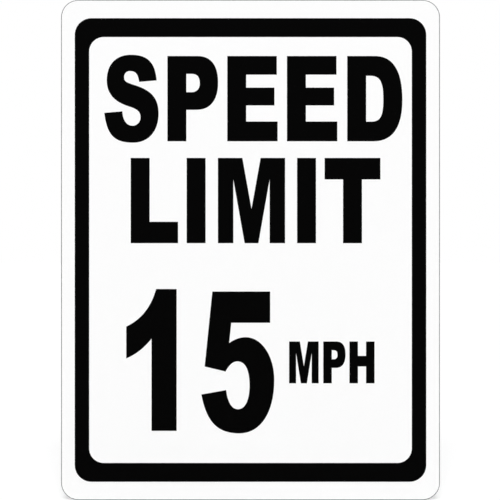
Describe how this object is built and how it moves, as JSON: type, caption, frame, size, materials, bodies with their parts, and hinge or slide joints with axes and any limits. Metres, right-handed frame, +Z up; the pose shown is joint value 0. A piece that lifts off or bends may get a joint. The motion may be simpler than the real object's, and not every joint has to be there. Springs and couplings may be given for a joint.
{
  "type": "speed limit sign",
  "caption": "Flat upright road sign panel with round corners: an aluminium blank with white reflective sheeting on its face and a black border film.",
  "frame": {"origin": "middle of the blank's back face, where the panel meets its post, bracket or wall", "axes": "+Z up along the panel's height, +X to the right for someone who reads the sign, -Y out of the printed face, +Y out of the back"},
  "size_m": [0.4572, 0.0023, 0.6032],
  "materials": {
    "mill_finish_aluminium": "mill finish, rolled, satin",
    "white_reflective_sheeting": "smooth glass-bead reflective film, satin gloss",
    "black_cut_film": "opaque cut film, low sheen"
  },
  "bodies": {
    "root": {"aluminium_blank": "mill_finish_aluminium", "white_sheeting": "white_reflective_sheeting", "black_border": "black_cut_film"}
  },
  "joints": []
}
